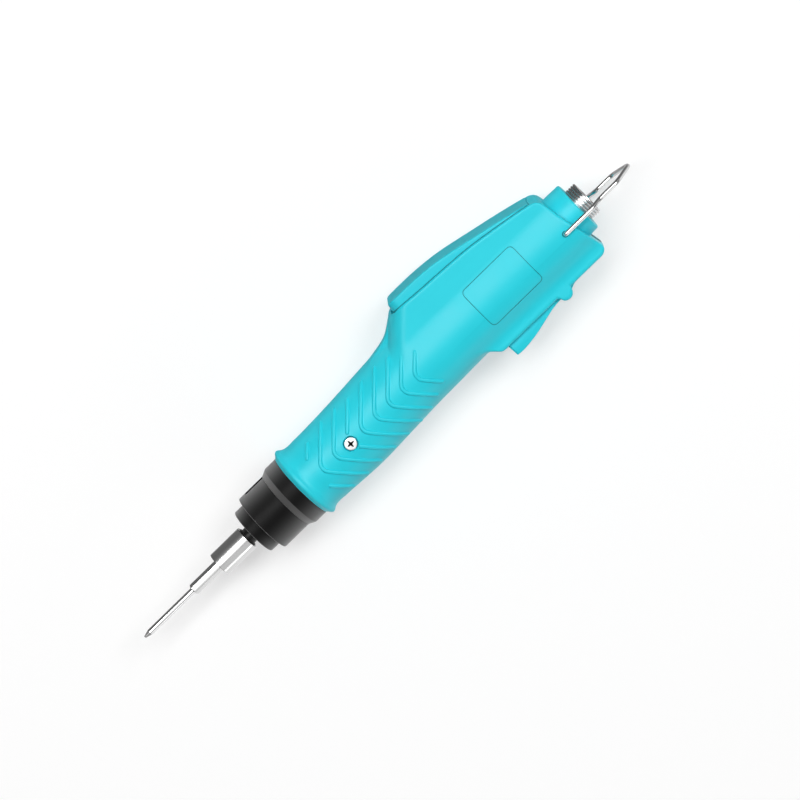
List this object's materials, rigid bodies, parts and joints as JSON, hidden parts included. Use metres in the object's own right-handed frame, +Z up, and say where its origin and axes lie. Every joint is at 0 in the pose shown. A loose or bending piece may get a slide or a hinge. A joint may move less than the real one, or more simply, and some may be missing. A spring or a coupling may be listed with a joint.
{
  "type": "electric screwdriver",
  "caption": "Inline corded electric screwdriver with a lever start, direction rocker, torque ring, quick-change hex bit and wire hanger.",
  "frame": {"origin": "under the middle of the footprint, on the surface the tool lies on", "axes": "+X along the tool from the bit to the connector, +Y to the start lever, +Z up"},
  "size_m": [0.3075, 0.0584, 0.0409],
  "materials": {
    "shell": "smooth satin",
    "screw_steel": "bright zinc",
    "lever": "smooth satin",
    "pin_steel": "ground",
    "spring_steel": "drawn",
    "switch_case": "matt",
    "plunger": "matt",
    "rocker": "smooth satin",
    "board": "lacquered",
    "end_boss": "smooth satin",
    "connector_steel": "plated",
    "insert": "matt",
    "contacts": "plated",
    "wire": "plated wire",
    "case_metal": "die cast",
    "motor_can": "plated can",
    "dark_steel": "black oxide",
    "seat_metal": "black oxide",
    "nose_black": "satin",
    "sleeve_steel": "turned, plated",
    "bit_steel": "hardened, polished"
  },
  "bodies": {
    "housing": {"housing_near": "shell", "housing_far": "shell", "grip_screw": "screw_steel", "lever_pin": "pin_steel", "lever_spring": "spring_steel", "start_switch": "switch_case", "rocker_pin": "pin_steel", "direction_switch": "switch_case", "circuit_board": "board", "connector_seat": "end_boss", "connector_barrel": "connector_steel", "connector_insert": "insert", "contact_pins": "contacts", "gear_case": "case_metal", "motor": "motor_can", "clutch_spring": "spring_steel", "torque_barrel": "nose_black", "nose_nut": "nose_black", "sleeve_spring": "spring_steel"},
    "start_lever": {"start_lever": "lever"},
    "start_plunger": {"start_plunger": "plunger"},
    "direction_rocker": {"direction_rocker": "rocker"},
    "direction_slider": {"direction_slider": "plunger"},
    "torque_adjuster": {"torque_adjuster": "nose_black"},
    "torque_seat": {"torque_seat": "seat_metal"},
    "spindle": {"spindle": "dark_steel", "screw_bit": "bit_steel"},
    "bit_sleeve": {"bit_sleeve": "sleeve_steel"},
    "hanger_bail": {"hanger_bail": "wire"}
  },
  "joints": [
    {"name": "lever_press", "type": "hinge", "parent": "housing", "child": "start_lever", "pos_m": [0.10465, 0.0132, 0.02045], "axis": [0, 0, 1], "range_deg": [0, 2.6], "stiffness_Nm_per_rad": 4, "springref_deg": -2.86, "deforming": ["lever_spring"]},
    {"name": "start_plunger_slide", "type": "slide", "parent": "housing", "child": "start_plunger", "axis": [0, -1, 0], "range_m": [0, 0.0022]},
    {"name": "direction_rock", "type": "hinge", "parent": "housing", "child": "direction_rocker", "pos_m": [0.09305, -0.0232, 0.02045], "axis": [0, 0, -1], "range_deg": [0, 8]},
    {"name": "direction_slide", "type": "slide", "parent": "housing", "child": "direction_slider", "axis": [1, 0, 0], "range_m": [0, 0.0016]},
    {"name": "torque_turn", "type": "hinge", "parent": "housing", "child": "torque_adjuster", "pos_m": [-0.07965, -0.0034, 0.02045], "axis": [1, 0, 0], "range_deg": [-768, 672]},
    {"name": "torque_seat_slide", "type": "slide", "parent": "housing", "child": "torque_seat", "axis": [1, 0, 0], "range_m": [-0.0032, 0.0028], "deforming": ["clutch_spring"]},
    {"name": "spindle_spin", "type": "hinge", "parent": "housing", "child": "spindle", "pos_m": [-0.07365, -0.0034, 0.02045], "axis": [1, 0, 0], "continuous": true},
    {"name": "sleeve_pull", "type": "slide", "parent": "spindle", "child": "bit_sleeve", "axis": [1, 0, 0], "range_m": [0, 0.003], "stiffness_N_per_m": 1500, "springref_m": -0.003, "deforming": ["sleeve_spring"]},
    {"name": "hanger_swing", "type": "hinge", "parent": "housing", "child": "hanger_bail", "pos_m": [0.11205, -0.0031, 0.02045], "axis": [0, 0, 1], "range_deg": [-80, 70]}
  ],
  "couplings": [
    {"joint": "start_plunger_slide", "follows": "lever_press", "m_per_rad": 0.0463},
    {"joint": "direction_slide", "follows": "direction_rock", "m_per_rad": 0.0108},
    {"joint": "torque_seat_slide", "follows": "torque_turn", "m_per_rad": 0.00023873}
  ]
}
